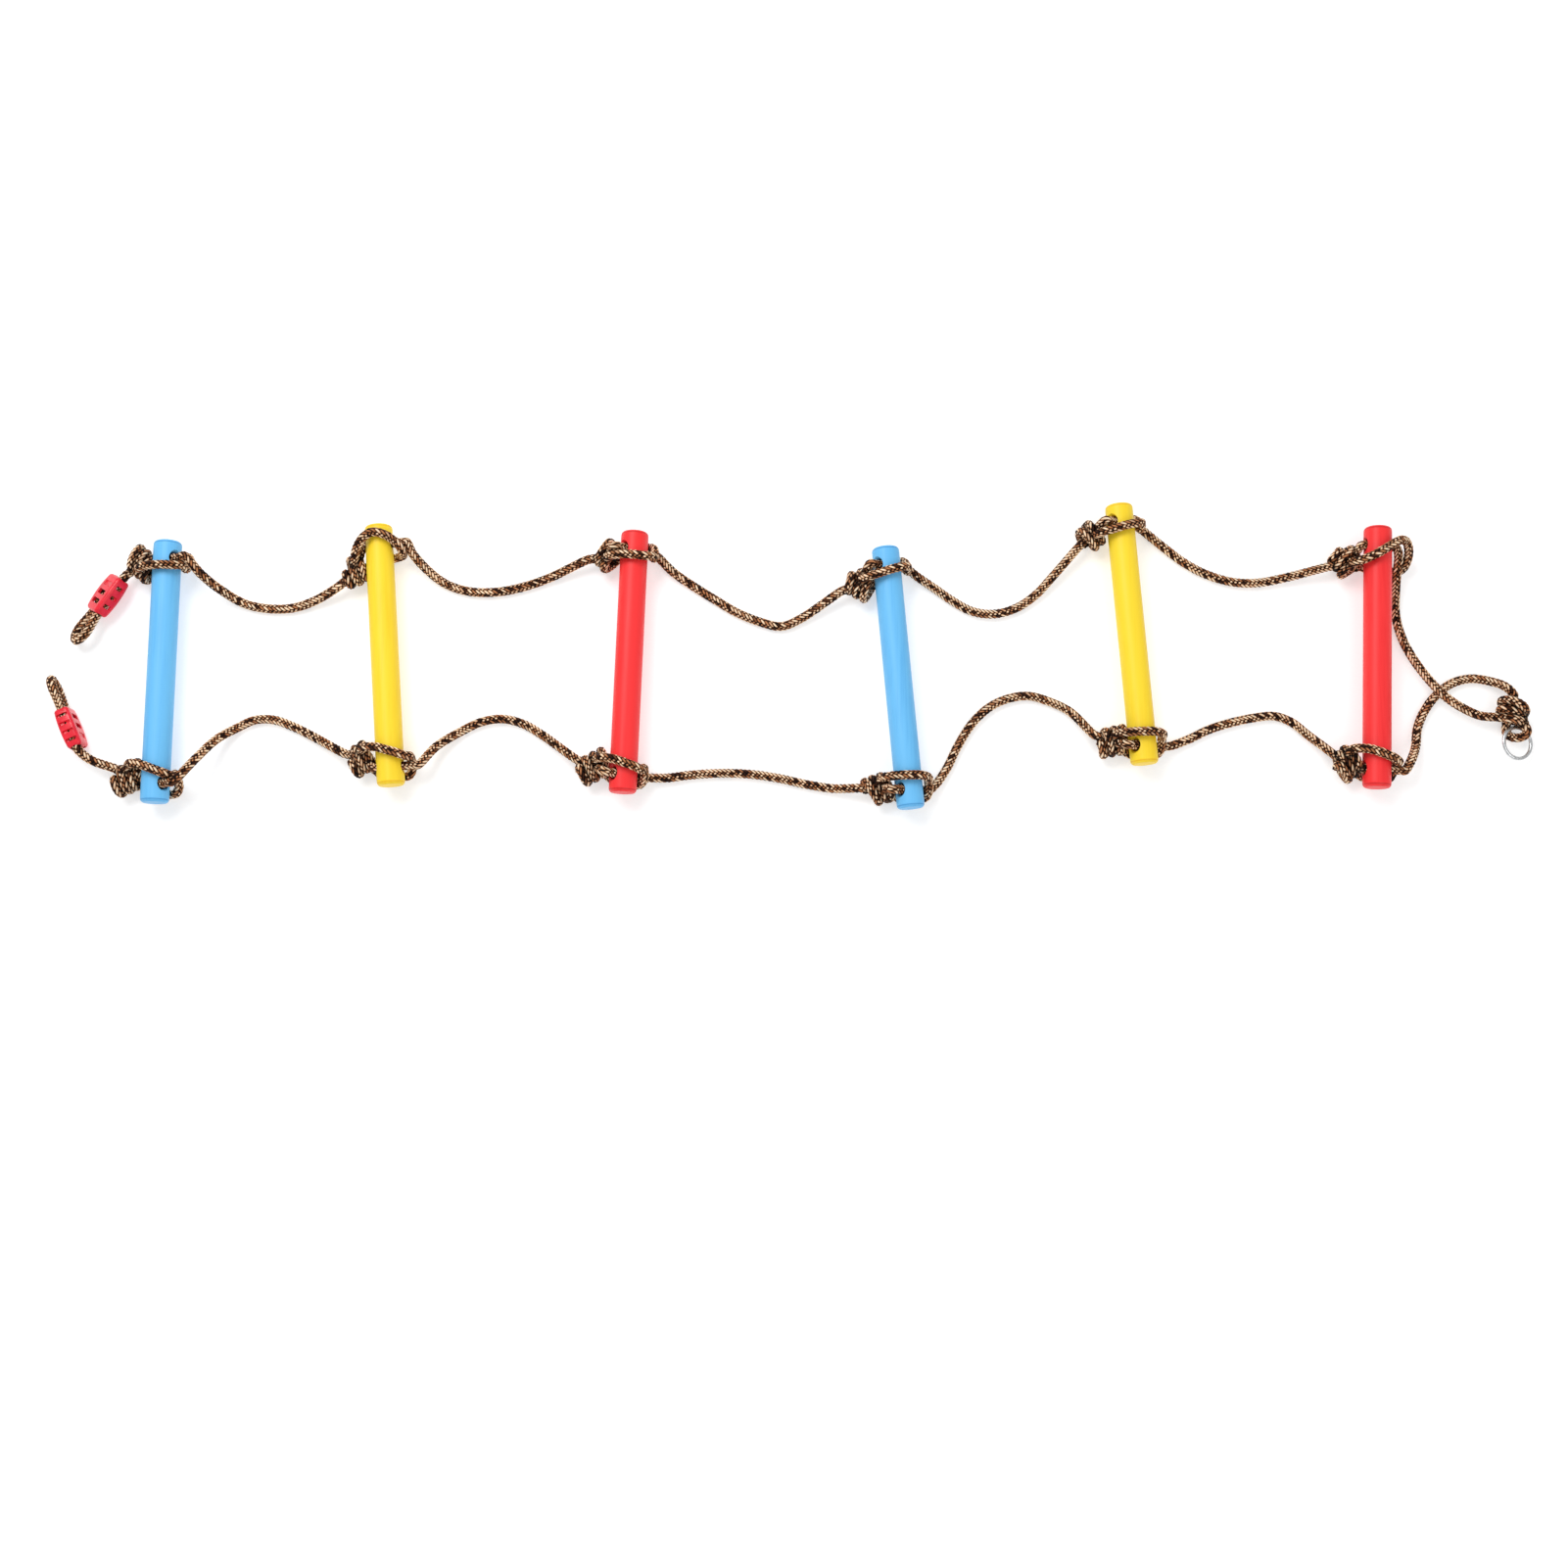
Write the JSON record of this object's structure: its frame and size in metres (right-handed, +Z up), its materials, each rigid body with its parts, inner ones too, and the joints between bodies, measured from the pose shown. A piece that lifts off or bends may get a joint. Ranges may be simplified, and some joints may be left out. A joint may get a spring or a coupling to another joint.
{
  "type": "rope ladder",
  "caption": "Children's rope ladder: round painted rungs knotted between two braided ropes that join at a hanging ring, with rope adjusters on the tails.",
  "frame": {"origin": "middle of the ladder's outline as it lies, on the surface it lies on", "axes": "+X runs up the ladder from the tails to the hanging ring, +Y points to the left rope as the bottom rung sees it, +Z up"},
  "size_m": [1.513, 0.316, 0.0503],
  "materials": {
    "blue_paint": "satin light blue paint over a turned dowel",
    "yellow_paint": "satin yellow paint over a turned dowel",
    "red_paint": "satin red paint over a turned dowel",
    "braided_rope": "braided brown synthetic rope with light flecks",
    "adjuster_plastic": "glossy moulded red",
    "zinc_steel": "bright zinc-plated round wire"
  },
  "bodies": {
    "rung_1": {"rung_1": "blue_paint", "left_knot_1": "braided_rope", "right_knot_1": "braided_rope", "left_rope_1": "braided_rope", "right_rope_1": "braided_rope"},
    "rung_2": {"rung_2": "yellow_paint", "left_knot_2": "braided_rope", "right_knot_2": "braided_rope", "left_rope_2": "braided_rope", "right_rope_2": "braided_rope"},
    "rung_3": {"rung_3": "red_paint", "left_knot_3": "braided_rope", "right_knot_3": "braided_rope", "left_rope_3": "braided_rope", "right_rope_3": "braided_rope"},
    "rung_4": {"rung_4": "blue_paint", "left_knot_4": "braided_rope", "right_knot_4": "braided_rope", "left_rope_4": "braided_rope", "right_rope_4": "braided_rope"},
    "rung_5": {"rung_5": "yellow_paint", "left_knot_5": "braided_rope", "right_knot_5": "braided_rope", "left_rope_5": "braided_rope", "right_rope_5": "braided_rope"},
    "rung_6": {"rung_6": "red_paint", "left_knot_6": "braided_rope", "right_knot_6": "braided_rope", "left_bridle": "braided_rope", "right_bridle": "braided_rope"},
    "bridle": {"bridle_knot": "braided_rope", "bridle_eye": "braided_rope"},
    "ring": {"hanging_ring": "zinc_steel"},
    "left_tail": {"left_tail": "braided_rope", "left_tail_loop": "braided_rope"},
    "left_adjuster": {"left_adjuster": "adjuster_plastic"},
    "right_tail": {"right_tail": "braided_rope", "right_tail_loop": "braided_rope"},
    "right_adjuster": {"right_adjuster": "adjuster_plastic"}
  },
  "joints": [
    {"name": "rung_5_fold", "type": "hinge", "parent": "rung_6", "child": "rung_5", "pos_m": [0.472, 0, 0.0115], "axis": [0, 1, 0], "range_deg": [-135, 135], "deforming": ["left_rope_5", "right_rope_5"]},
    {"name": "rung_4_fold", "type": "hinge", "parent": "rung_5", "child": "rung_4", "pos_m": [0.229, 0, 0.0115], "axis": [0, -1, 0], "range_deg": [-135, 135], "deforming": ["left_rope_4", "right_rope_4"]},
    {"name": "rung_3_fold", "type": "hinge", "parent": "rung_4", "child": "rung_3", "pos_m": [-0.027, 0, 0.0115], "axis": [0, 1, 0], "range_deg": [-135, 135], "deforming": ["left_rope_3", "right_rope_3"]},
    {"name": "rung_2_fold", "type": "hinge", "parent": "rung_3", "child": "rung_2", "pos_m": [-0.287, 0, 0.0115], "axis": [0, -1, 0], "range_deg": [-135, 135], "deforming": ["left_rope_2", "right_rope_2"]},
    {"name": "rung_1_fold", "type": "hinge", "parent": "rung_2", "child": "rung_1", "pos_m": [-0.524, 0, 0.0115], "axis": [0, 1, 0], "range_deg": [-135, 135], "deforming": ["left_rope_1", "right_rope_1"]},
    {"name": "bridle_fold", "type": "hinge", "parent": "rung_6", "child": "bridle", "pos_m": [0.672, 0, 0.01], "axis": [0, -1, 0], "range_deg": [-120, 120], "deforming": ["left_bridle", "right_bridle"]},
    {"name": "ring_swing", "type": "hinge", "parent": "bridle", "child": "ring", "pos_m": [0.7388, -0.07, 0.0122], "axis": [0.9613, 0, -0.2756], "range_deg": [-75, 75], "deforming": ["bridle_eye"]},
    {"name": "left_tail_swing", "type": "hinge", "parent": "rung_1", "child": "left_tail", "pos_m": [-0.6818, 0.0869, 0.0157], "axis": [0, 1, 0], "range_deg": [-40, 40], "deforming": ["left_tail"]},
    {"name": "left_adjuster_slide", "type": "slide", "parent": "left_tail", "child": "left_adjuster", "axis": [-0.5446, -0.8387, 0], "range_m": [-0.002, 0.003]},
    {"name": "right_tail_swing", "type": "hinge", "parent": "rung_1", "child": "right_tail", "pos_m": [-0.695, -0.106, 0.0157], "axis": [0, 1, 0], "range_deg": [-60, 60], "deforming": ["right_tail"]},
    {"name": "right_adjuster_slide", "type": "slide", "parent": "right_tail", "child": "right_adjuster", "axis": [-0.4067, 0.9135, 0], "range_m": [-0.002, 0.003]}
  ]
}
